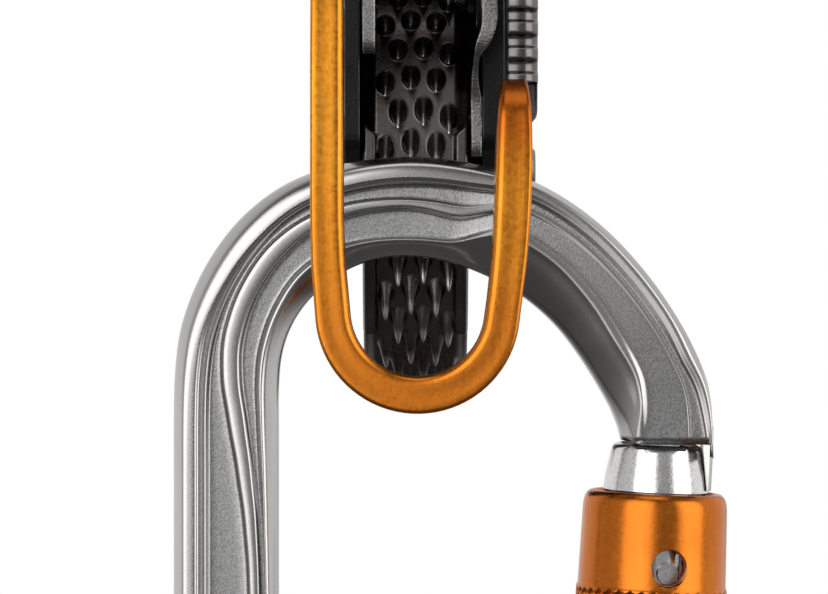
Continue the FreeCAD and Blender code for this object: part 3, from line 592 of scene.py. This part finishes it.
def carabiner():
    """Whole forging: spine, two bows, nose and hinge end."""
    rings = []
    marks = []
    steps = 3
    last = len(BODY_RAILS) - 1
    for k in range(int(17.35 * steps), 0, -1):
        ring, mark = body_ring(k / steps, True)
        rings.append(ring)
        marks.append(mark)
    for k in range(last * steps + 1):
        ring, mark = body_ring(min(k / steps, last), False)
        rings.append(ring)
        marks.append(mark)
    half = len(rings[0]) // 2
    for p in rings[0]:
        p.z = room_level(p.x)
    for p in rings[-1]:
        p.z = nose_level(p.x)
    points, faces = grid(rings)
    across = 2 * half
    for i in range(half - 1):
        faces.append((i, i + 1, across - 2 - i, across - 1 - i))
    cup_start = len(points)
    first = (len(rings) - 1) * across
    for i in range(half):
        front = rings[-1][i]
        depth = BAR_Y - front.y
        for share, rise in ((0.95, 0.1), (0.87, 1.2), (-0.87, 1.2), (-0.95, 0.1)):
            points.append(Vector((front.x, BAR_Y - depth * share, front.z + rise)))
            marks.append([0.3])

    def cup_strip(i):
        """Point numbers from front to back over the cup, at place i across the bar."""
        return ([first + i] + [cup_start + 4 * i + k for k in range(4)]
                + [first + across - 1 - i])

    for i in range(half - 1):
        one = cup_strip(i)
        two = cup_strip(i + 1)
        for k in range(5):
            faces.append((one[k], one[k + 1], two[k + 1], two[k]))
    for i in (0, half - 1):
        faces.append(tuple(cup_strip(i)))
    piece = make_piece("body_forging", points, faces, MATERIALS["forged_aluminium"],
                       "carabiner", "carabiner_body", sharp=0)
    layer = piece.data.attributes.new("pocket", "FLOAT", "POINT")
    for i, value in enumerate([m for row in marks for m in row]):
        layer.data[i].value = value
    crease = piece.data.attributes.new("crease_edge", "FLOAT", "EDGE")
    ends = (set(range(across)), set(range(first, first + across)))
    for edge in piece.data.edges:
        a, b = edge.vertices
        if any(a in end and b in end for end in ends):
            crease.data[edge.index].value = 0.55
    subdivide(piece, 1)
    return piece


def nose_lip():
    """Thin wall of the nose that stands outside the gate head."""
    section = [(6.62, 38.7), (6.68, 38.55), (6.78, 38.55), (6.82, 38.7), (6.84, 42.0), (6.82, 45.0),
               (6.75, 46.5), (6.0, 46.5), (5.9, 45.0), (6.0, 43.4), (6.3, 41.0)]
    rows = []
    for i in range(21):
        angle = math.radians(-24 + 48 * i / 20)
        rows.append([GATE_FRAME @ Vector((r * math.cos(angle), r * math.sin(angle), w))
                     for r, w in section])
    points, faces = grid(rows)
    count = len(section)
    faces.append(tuple(range(count)))
    faces.append(tuple(range(len(points) - count, len(points))))
    return make_piece("body_nose_lip", points, faces, MATERIALS["forged_aluminium"],
                      "carabiner", "carabiner_body", sharp=40)


def hinge_tongue():
    """Tongue under the rivet and the neck that carries it."""
    outline = [polar((RIVET.x, RIVET.z), 5.2, a) for a in range(-8, 189, 6)]
    outline += [(RIVET.x - 3.8, RIVET.z - 6.5), (RIVET.x - 3.2, -87.2), (RIVET.x + 3.6, -87.2),
                (RIVET.x + 4.6, RIVET.z - 5.5)]
    rows = []
    for y, grow in ((-2.3, -0.35), (-2.2, -0.1), (-1.9, 0.0), (1.9, 0.0), (2.2, -0.1), (2.3, -0.35)):
        row = []
        for x, z in outline:
            away = Vector((x - RIVET.x, z - RIVET.z - (2 if z < -84 else 0)))
            spot = Vector((x, z)) + away.normalized() * grow
            row.append(Vector((spot.x, BAR_Y + y, spot.y)))
        rows.append(row)
    points, faces = grid(rows)
    count = len(outline)
    faces.append(tuple(range(count)))
    faces.append(tuple(range(len(points) - count, len(points))))
    piece = make_piece("body_tongue", points, faces, MATERIALS["forged_aluminium"],
                       "carabiner", "carabiner_body", sharp=35)
    return piece


# ---- gold arm --------------------------------------------------------------

def bar_ring(centre, wide, deep, half_w, half_d):
    """Bar section with broadly rounded inner corners and tighter outer ones."""
    inner = min(1.0, 0.5 * half_w)
    outer = 0.5 * inner
    shape = []
    for turn in (90, 75, 60, 45, 32, 20, 10, 0):
        a = math.radians(turn)
        shape.append((-half_w + inner - inner * math.sin(a), inner * (1 - math.cos(a)) * 0.8))
    for share in (0.2, 0.4, 0.6, 0.8):
        w = -half_w + inner + (2 * half_w - inner - outer) * share
        shape.append((w, 0.02 * (1 - math.cos(2 * math.pi * share))))
    for turn in (0, 18, 36, 54, 72, 90):
        a = math.radians(turn)
        shape.append((half_w - outer + outer * math.sin(a), outer * (1 - math.cos(a))))
    ring = [centre + wide * w + deep * (half_d - d) for w, d in shape]
    ring += [centre + wide * w - deep * (half_d - d) for w, d in reversed(shape)]
    return ring


def arm_rings():
    """Rings from the eye round the U to the hooked tip."""
    rings = []
    left = Vector((-1, 0, 0))
    right = Vector((1, 0, 0))
    front = Vector((0, -1, 0))
    bend = ((-24.5, 34.6, 20), (-31.0, 32.4, 22), (-37.0, 29.4, 33), (-42.5, 24.6, 48),
            (-46.2, 18.2, 70), (-47.35, 11.0, 88), (-47.35, 2.0, 90), (-47.35, -7.0, 90))
    stations = []
    for y, z, fall in bend:
        x = -11.2 + 0.52 * min(1.0, max(0.0, (34.0 - z) / 16.0))
        depth = 3.65 + 1.2 * max(0.0, (z - 18.0) / 17.0)
        stations.append((Vector((x, y, z)), fall, 2.0, depth))
    stations.append((Vector((-10.5, ARM_Y, -13.0)), 90, 2.05, 3.65))
    for k in range((len(stations) - 1) * 4 + 1):
        t = k / 4
        centre = spline([s[0] for s in stations], t)
        fall, half, depth = (spline([s[n] for s in stations], t) for n in (1, 2, 3))
        a = math.radians(fall)
        deep = Vector((0, -math.sin(a), math.cos(a)))
        rings.append(bar_ring(centre, left, deep, half, depth))
    for i in range(38):
        angle = 186 + 4.5 * i
        radial = polar((0, 0), 1, angle)
        mid = polar(ARM_BOTTOM, ARM_ARC_R, angle)
        half = 2.08 + 0.14 * math.sin(math.radians(angle - 180))
        rings.append(bar_ring(Vector((mid[0], ARM_Y, mid[1])), Vector((radial[0], 0, radial[1])),
                              front, half, 3.65))
    rise = ((10.75, ARM_Y, -17.0, 90, 2.1, 3.65), (11.3, ARM_Y, -12.0, 90, 2.15, 3.65),
            (11.65, ARM_Y, -6.5, 90, 2.2, 3.65), (11.82, ARM_Y, -1.5, 90, 2.2, 3.65),
            (11.88, ARM_Y, 1.8, 90, 2.15, 3.55),
            (11.9, -47.1, 5.0, 74, 2.0, 3.2), (11.9, -45.5, 7.3, 42, 1.65, 2.4),
            (11.9, -43.4, 7.3, 6, 1.45, 1.9), (11.9, -40.9, 5.6, -20, 1.3, 1.5))
    for k in range((len(rise) - 1) * 4 + 1):
        t = k / 4
        x, y, z, angle, half, depth = (spline([s[n] for s in rise], t) for n in range(6))
        a = math.radians(angle)
        deep = Vector((0, -math.sin(a), math.cos(a)))
        rings.append(bar_ring(Vector((x, y, z)), right, deep, half, depth))
    return rings


def closed_tube(rings):
    """Grid through rings with a rounded plug at each end."""
    def plug(ring, ahead, amount, shrink):
        middle = sum(ring, Vector()) / len(ring)
        return [middle + (p - middle) * shrink + ahead * amount for p in ring]
    first = sum(rings[0], Vector()) / len(rings[0]) - sum(rings[1], Vector()) / len(rings[1])
    final = sum(rings[-1], Vector()) / len(rings[-1]) - sum(rings[-2], Vector()) / len(rings[-2])
    first.normalize()
    final.normalize()
    start = [plug(rings[0], first, a, s) for a, s in ((0.75, 0.3), (0.6, 0.7), (0.3, 0.92))]
    end = [plug(rings[-1], final, a, s) for a, s in ((0.3, 0.92), (0.6, 0.7), (0.75, 0.3))]
    rows = start + rings + end
    points, faces = grid(rows)
    count = len(rows[0])
    faces.append(tuple(range(count)))
    faces.append(tuple(range(len(points) - count, len(points))))
    return points, faces


def turned_x(profile, centre, segments=96):
    """Closed ring body turned about an X axis through a (Y, Z) centre, from (x, r)."""
    rows = []
    for i in range(segments):
        a = 2 * math.pi * i / segments
        rows.append([Vector((x, centre[0] + r * math.cos(a), centre[1] + r * math.sin(a)))
                     for x, r in profile])
    return grid(rows, close_u=True, close_v=True)


def arm():
    """Gold capture arm in one piece: bar, eye and saddle."""
    gold = MATERIALS["gold_anodised"]
    points, faces = closed_tube(arm_rings())
    bar = make_piece("arm_bar", points, faces, gold, "arm", "arm", sharp=60)
    bar.visible_glossy = False
    # hook marks the right leg's upper part and tip, where the gold finish paints a dark red shade
    layer = bar.data.attributes.new("hook", "FLOAT", "POINT")
    for i, p in enumerate(points):
        layer.data[i].value = smooth_step(p.z, -6.0, 5.0) if p.x > 5.0 else 0.0
    eye = [(-13.2, 4.7), (-13.2, 7.0), (-13.0, 7.35), (-12.7, 7.5), (-9.7, 7.5), (-9.4, 7.35),
           (-9.2, 7.0), (-9.2, 4.7), (-9.35, 4.35), (-9.7, 4.2), (-12.7, 4.2), (-13.05, 4.35)]
    points, faces = turned_x(eye, ARM_PIVOT)
    make_piece("arm_eye", points, faces, gold, "arm", "arm", sharp=35)
    rows = []
    reach = math.degrees(math.asin(5.5 / 8.6))
    for i in range(41):
        angle = 180 + reach + (180 - 2 * reach) * i / 40
        row = []
        for r, y in ((8.6, -44.4), (8.6, -25.6), (9.0, -25.1), (9.5, -25.0), (11.0, -25.0),
                     (11.5, -25.2), (11.8, -25.7), (11.8, -44.4)):
            spot = polar(ARM_BOTTOM, r, angle)
            row.append(Vector((spot[0], y, spot[1])))
        rows.append(row)
    points, faces = grid(rows)
    faces.append(tuple(range(8)))
    faces.append(tuple(range(len(points) - 8, len(points))))
    saddle = make_piece("arm_saddle", points, faces, gold, "arm", "arm", sharp=35)
    saddle.visible_glossy = False


# ---- toothed wheel ---------------------------------------------------------

def tooth_places():
    """(column x, base angle in degrees) of every tooth."""
    made = []
    offsets = ((0.9, -0.8, 0.0), (0.0, -0.6, 1.3))
    for group in range(2):
        for row in range(TOOTH_ROWS):
            kind = (row + group) % 2
            angle = 20 + 180 * group + TOOTH_ROW_STEP * row
            for column in range(3):
                x = -3.8 + TOOTH_COLUMN_STEP * column + TOOTH_COLUMN_STEP / 2 * kind
                made.append((x, angle + offsets[kind][column] + 176.2))
    return made


def tooth_lift(x, degrees, teeth):
    """Height of the nearest tooth at a place on the rim, from 0 at its foot to 1 at its tip."""
    best = 0.0
    for cx, ca in teeth:
        along = math.radians((degrees - ca + 180) % 360 - 180) * RIM_R
        reach = math.sqrt((along / TOOTH_HALF_LENGTH) ** 2 + ((x - cx) / TOOTH_HALF_WIDTH) ** 2
                          + TOOTH_BLUNTNESS)
        if reach < 1:
            best = max(best, ((1 - reach) / 0.827) ** 1.3)
    return best


def wheel():
    """Rim with raked teeth, flank lugs, web and hub."""
    segments = 1080
    across = [-6.7 + 13.4 * i / 84 for i in range(85)]
    inside = [(6.7, 27.6), (6.7, 12.6), (6.5, 12.0), (6.2, 5.5), (6.0, 5.12), (0.8, 5.12),
              (0.6, 5.4), (0.6, 7.8), (0.8, 8.1), (3.1, 8.55), (3.4, 8.9), (3.4, 23.0),
              (3.2, 23.6), (2.4, 24.4), (2.1, 24.5), (-6.45, 24.5), (-6.7, 24.75), (-6.7, 27.6)]
    buckets = {}
    for cx, ca in tooth_places():
        buckets.setdefault(int(ca % 360 / 8), []).append((cx, ca))
    rows = []
    tips = []
    for k in range(segments):
        degrees = 360 * k / segments
        cell = int(degrees / 8)
        near = [t for c in (cell - 1, cell, cell + 1) for t in buckets.get(c % 45, [])]
        row = []
        mark = []
        turn = (degrees - LUG_START) % LUG_EVERY
        solid = smooth_step(turn, 0.0, 0.5) * (1 - smooth_step(turn, LUG_SPAN - 0.7, LUG_SPAN))
        inner = 4.95 + 1.55 * (1 - smooth_step(turn, 0.2, 3.6))
        for x in across:
            side = abs(x)
            r = RIM_R - 1.2 * smooth_step(side, 4.9, 6.7) - 0.3 * smooth_step(side, 6.45, 6.7)
            lug = solid * smooth_step(side, inner - 0.12, inner + 0.2)
            lug *= 1 - 0.3 * smooth_step(side, 6.35, 6.7)
            r += (LUG_R - r) * lug
            lift = tooth_lift(x, degrees, near) if side < 4.8 or lug < 0.2 else 0.0
            r += TOOTH_HEIGHT * lift
            a = math.radians(degrees) + TOOTH_RAKE * lift ** 1.1 / RIM_R
            row.append(Vector((x, r * math.cos(a), r * math.sin(a))))
            mark.append(lift)
        a = math.radians(degrees)
        for x, r in inside:
            row.append(Vector((x, r * math.cos(a), r * math.sin(a))))
            mark.append(0.0)
        rows.append(row)
        tips.append(mark)
    points, faces = grid(rows, close_u=True)
    piece = make_piece("wheel_teeth", points, faces, MATERIALS["wheel_steel"], "wheel",
                       "wheel_rim", sharp=0)
    # tip holds each point's tooth lift, which the finish turns into painted shade on flanks and a
    # painted highlight at tips
    layer = piece.data.attributes.new("tip", "FLOAT", "POINT")
    for i, value in enumerate([m for row in tips for m in row]):
        layer.data[i].value = value
    return piece


# ---- gate and locking sleeve -----------------------------------------------

def head_flats(angle, r, z):
    """Shallow flats in front and behind that let the head enter the nose."""
    if z < 43.0:
        return 0.0
    limit = 5.75 - 1.75 * smooth_step(z, 43.1, 43.95)
    return min(0.0, limit / max(0.01, abs(math.sin(angle))) - r)


def gate():
    """Turned barrel with a rounded conical head, slotted at the hinge."""
    profile = [(0.4, -6.2), (5.6, -6.2), (6.2, -5.6), (6.2, 37.9), (6.35, 38.05), (6.5, 38.25),
               (6.5, 38.6), (6.28, 40.3), (5.95, 41.9), (5.72, 43.1), (5.66, 43.4), (5.55, 43.65),
               (5.4, 43.8), (5.15, 43.95), (4.7, 44.1), (4.0, 44.2), (3.0, 44.25), (0.4, 44.25)]
    points, faces = lathe(refine(profile, 0.35), 160, GATE_FRAME, head_flats)
    piece = make_piece("gate_barrel", points, faces, MATERIALS["turned_aluminium"], "gate",
                       "gate", sharp=30)
    slot = [(-12, -2.6), (12, -2.6), (12, 2.6), (-12, 2.6)]
    sideways = GATE_FRAME @ Matrix.Rotation(math.radians(90), 4, "X")
    cutters = [prism(slot, -9, 5.6, GATE_FRAME),
               prism(circle(2.06, 32), -12, 12, sideways),
               prism(circle(2.8, 40), 4.95, 12, sideways),
               prism(circle(2.8, 40), -12, -4.95, sideways)]
    corner = [(-9.0, -9.0), (9.0, -9.0), (9.0, 0.0)]
    corner += [polar((0, 0), 6.2, a) for a in range(0, -181, -6)]
    corner += [(-9.0, 0.0)]
    cutters.append(prism(corner, -12, 12, sideways))
    carve(piece, cutters)
    piece.data.shade_smooth()
    piece.data.set_sharp_from_angle(angle=math.radians(30))
    return piece


def knurl(angle, r, z):
    """Diamond knurl in the grip band of the sleeve."""
    if r < 8.9 or z < KNURL_LOW or z > KNURL_HIGH:
        return 0.0
    around = angle * 9.3 / KNURL_PITCH
    up = z / KNURL_PITCH
    a = abs((around + up) % 1 - 0.5) * 2
    b = abs((around - up) % 1 - 0.5) * 2
    ends = (smooth_step(z, KNURL_LOW, KNURL_LOW + 0.3)
            * (1 - smooth_step(z, KNURL_HIGH - 0.3, KNURL_HIGH)))
    return -0.34 * ends * max(smooth_step(a, 0.45, 1.0), smooth_step(b, 0.45, 1.0))


def sleeve():
    """Orange outer sleeve with rounded shoulder, sight hole and knurled grip."""
    outer = [(7.1, 7.9), (9.0, 7.9), (9.05, 13.4), (9.12, 13.7), (9.3, 13.9)]
    outer += [(9.3, 14.0 + 0.18 * i) for i in range(1, 68)]
    outer += [(9.3, 26.3), (9.2, 26.45), (9.12, 26.7), (9.0, 32.0), (8.9, 36.0), (8.84, 36.7),
              (8.7, 37.3), (8.45, 37.75), (8.1, 38.05), (7.75, 38.15), (7.55, 38.1), (7.45, 37.9),
              (7.45, 36.3), (7.1, 36.1)]
    points, faces = lathe(outer, 280, GATE_FRAME, knurl)
    piece = make_piece("sleeve_shell", points, faces, MATERIALS["orange_anodised"], "sleeve",
                       "locking_sleeve", sharp=40)
    aim = math.radians(SIGHT_HOLE_TURN)
    toward = Matrix.Rotation(aim, 4, "Z") @ Matrix.Rotation(math.radians(90), 4, "X")
    place = GATE_FRAME @ Matrix.Translation((0, 0, SIGHT_HOLE_LEVEL)) @ toward
    rows = []
    for depth, radius in ((3.0, SIGHT_HOLE_R), (8.75, SIGHT_HOLE_R), (8.9, SIGHT_HOLE_R + 0.06),
                          (9.05, SIGHT_HOLE_R + 0.18), (9.2, SIGHT_HOLE_R + 0.4), (12.0, 5.0)):
        rows.append([place @ Vector((x, y, depth)) for x, y in circle(radius, 64)])
    bore, around = grid(rows)
    around.append(tuple(range(64)))
    around.append(tuple(range(len(bore) - 64, len(bore))))
    carve(piece, [loose_mesh(bore, around)])
    piece.data.shade_smooth()
    piece.data.set_sharp_from_angle(angle=math.radians(40))
    return piece


# ---- thumb catch -----------------------------------------------------------

def catch():
    """Ribbed lever over the arm's tip."""
    front = []
    steps = 150
    for i in range(steps + 1):
        z = 8.6 + (42.4 - 8.6) * i / steps
        phase = ((z - RIB_START) / RIB_STEP) % 1
        gap = smooth_step(abs(phase - 0.5) * 2, 0.40, 0.66)
        inside = smooth_step(z, 9.6, 9.9) * (1 - smooth_step(z, 38.6, 38.9))
        front.append((-43.4 - 0.6 * smooth_step(z, 10, 36) + 1.15 * gap * inside, z))
    outline = [(-37.4, 4.3), (-37.7, 6.0), (-38.0, 8.6), (-38.4, 9.2), (-42.6, 9.35)]
    outline += front[3:]
    outline += [(-43.6, 42.6), (-42.8, 42.9), (-37.4, 42.9), (-36.4, 42.5), (-36.0, 41.6),
                (-35.6, 34.0), (-35.1, 20.0), (-34.9, 14.0), (-34.6, 9.0), (-34.7, 5.4),
                (-35.0, 4.6), (-35.6, 4.1), (-36.6, 3.95)]
    rows = []
    middle = Vector((-39.5, 24.0))
    for x, inset in ((11.2, 0.5), (11.23, 0.28), (11.33, 0.09), (11.5, 0.0), (13.2, 0.0),
                     (13.4, 0.04), (13.65, 0.13), (13.95, 0.28), (14.4, 0.62), (14.8, 1.05),
                     (14.95, 1.35), (15.0, 1.6)):
        row = []
        for y, z in outline:
            dy = 1 if y < middle.x else -1
            dz = 1 if z < 6 else (-1 if z > 41 else 0)
            row.append(Vector((x, y + dy * inset, z + dz * inset)))
        rows.append(row)
    points, faces = grid(rows)
    count = len(outline)
    faces.append(tuple(range(count)))
    faces.append(tuple(range(len(points) - count, len(points))))
    piece = make_piece("catch_lever", points, faces, MATERIALS["catch_metal"], "catch",
                       "safety_catch", sharp=40)
    turn = Matrix(((0, 0, 1, 0), (1, 0, 0, 0), (0, 1, 0, 0), (0, 0, 0, 1)))
    carve(piece, [prism(circle(1.86, 40, CATCH_PIVOT), 11, 16, turn)])
    piece.data.shade_smooth()
    piece.data.set_sharp_from_angle(angle=math.radians(40))
    return piece


# ---- world, floor and camera -----------------------------------------------

def world_math(tree, operation, a, b=0.0):
    """One arithmetic step of the world's shader."""
    made = tree.nodes.new("ShaderNodeMath")
    made.operation = operation
    for index, value in ((0, a), (1, b)):
        if isinstance(value, bpy.types.NodeSocket):
            tree.links.new(value, made.inputs[index])
        else:
            made.inputs[index].default_value = value
    return made.outputs[0]


def falloff(tree, value, middle, reach, blur):
    """1 within reach of the middle, 0 outside, with a soft edge."""
    away = world_math(tree, "ABSOLUTE", world_math(tree, "SUBTRACT", value, middle))
    made = tree.nodes.new("ShaderNodeMapRange")
    made.interpolation_type = "SMOOTHSTEP"
    tree.links.new(away, made.inputs["Value"])
    made.inputs["From Min"].default_value = reach - blur
    made.inputs["From Max"].default_value = reach + blur
    made.inputs["To Min"].default_value = 1.0
    made.inputs["To Max"].default_value = 0.0
    return made.outputs["Result"]


# Soft light panels: azimuth from the front, its reach and blur in degrees, then
# height on the unit sphere, its reach and blur, and strength. The last one is a ring.
PANELS = (
    (-29, 23, 7, 0.25, 0.42, 0.15, 2.3),
    (58, 20, 7, 0.25, 0.42, 0.15, 2.3),
    (118, 34, 12, 0.20, 0.58, 0.25, 0.65),
    (-73, 14, 6, 0.20, 0.45, 0.28, 0.30),
    (-128, 34, 12, 0.20, 0.58, 0.25, 0.60),
    (180, 20, 8, 0.25, 0.58, 0.25, 0.50),
    (-180, 20, 8, 0.25, 0.58, 0.25, 0.50),
    (0, 400, 10, 0.15, 0.50, 0.35, 0.24))
ROOM_LIGHT = 0.10


def studio_world():
    """White to the camera; soft panels on a grey room for light and reflections."""
    world = bpy.data.worlds.new("studio")
    bpy.context.scene.world = world
    world.use_nodes = True
    tree = world.node_tree
    tree.nodes.clear()
    way = tree.nodes.new("ShaderNodeTexCoord").outputs["Generated"]
    split = tree.nodes.new("ShaderNodeSeparateXYZ")
    tree.links.new(way, split.inputs[0])
    front = world_math(tree, "MULTIPLY", split.outputs["Y"], -1.0)
    azimuth = world_math(tree, "ARCTAN2", split.outputs["X"], front)
    light = ROOM_LIGHT
    for middle, reach, blur, level, level_reach, level_blur, strength in PANELS:
        wide = falloff(tree, azimuth, math.radians(middle), math.radians(reach), math.radians(blur))
        tall = falloff(tree, split.outputs["Z"], level, level_reach, level_blur)
        shape = world_math(tree, "MULTIPLY", wide, tall)
        light = world_math(tree, "ADD", light, world_math(tree, "MULTIPLY", shape, strength))
    room = tree.nodes.new("ShaderNodeBackground")
    room.inputs["Color"].default_value = (1.0, 0.985, 0.965, 1)
    tree.links.new(light, room.inputs["Strength"])
    backdrop = tree.nodes.new("ShaderNodeBackground")
    backdrop.inputs["Color"].default_value = (1, 1, 1, 1)
    ray = tree.nodes.new("ShaderNodeLightPath").outputs["Is Camera Ray"]
    choose = tree.nodes.new("ShaderNodeMixShader")
    tree.links.new(ray, choose.inputs[0])
    tree.links.new(room.outputs[0], choose.inputs[1])
    tree.links.new(backdrop.outputs[0], choose.inputs[2])
    out = tree.nodes.new("ShaderNodeOutputWorld")
    tree.links.new(choose.outputs[0], out.inputs["Surface"])


def floor():
    """Pale round floor under the part that fades out at its rim."""
    level = cad_low.z / MM + SEAT.z - 2.0
    rows = []
    for r in (5, 60, 120, 180, 240, 300):
        rows.append([Vector((x, y - 10, level)) for x, y in circle(r, 64)])
    points, faces = grid(rows)
    faces.append(tuple(range(64)))
    f = Finish("floor_paper")
    tint = f.mix(f.noise(30.0), (0.86, 0.86, 0.855), (0.90, 0.90, 0.895))
    f.finish(tint, 0.6, f.bump(f.noise(900.0), 0.00005), 0.0)
    f.shader.inputs["Emission Color"].default_value = (1, 1, 1, 1)
    f.shader.inputs["Emission Strength"].default_value = 0.35
    spread = f.node("ShaderNodeVectorMath", {0: f.place}, operation="LENGTH").outputs["Value"]
    fade = f.ramp(spread, 0.16, 0.30, 1.0, 0.0)
    f.tree.links.new(fade, f.shader.inputs["Alpha"])
    made = make_piece("floor", points, faces, f.material, None, None)
    made.visible_glossy = False


def area(name, place, aim, size, power):
    """Soft box aimed at a point, in metres."""
    data = bpy.data.lights.new(name, "AREA")
    data.shape = "RECTANGLE"
    data.size, data.size_y = size
    data.energy = power
    lamp = bpy.data.objects.new(name, data)
    bpy.context.scene.collection.objects.link(lamp)
    lamp.location = place
    lamp.rotation_mode = "QUATERNION"
    lamp.rotation_quaternion = (Vector(aim) - Vector(place)).to_track_quat("-Z", "Y")


def camera():
    """Straight-on product view from the front."""
    data = bpy.data.cameras.new("camera")
    data.sensor_width = 36.0
    data.lens = 158.5
    data.clip_start = 0.01
    data.clip_end = 20.0
    eye = bpy.data.objects.new("camera", data)
    bpy.context.scene.collection.objects.link(eye)
    eye.location = (Vector(CAMERA_PLACE) - SEAT) * MM
    eye.rotation_euler = (math.radians(90), 0, 0)
    bpy.context.scene.camera = eye


# ---- assemble --------------------------------------------------------------

studio_world()
floor()
camera()
area("overhead", (0.0, -0.25, 0.9), (0.0, -0.02, -0.03), (0.5, 0.5), 1.0)
carabiner()
nose_lip()
hinge_tongue()
arm()
wheel()
gate()
sleeve()
catch()

view = bpy.context.scene.view_settings
view.view_transform = "Standard"
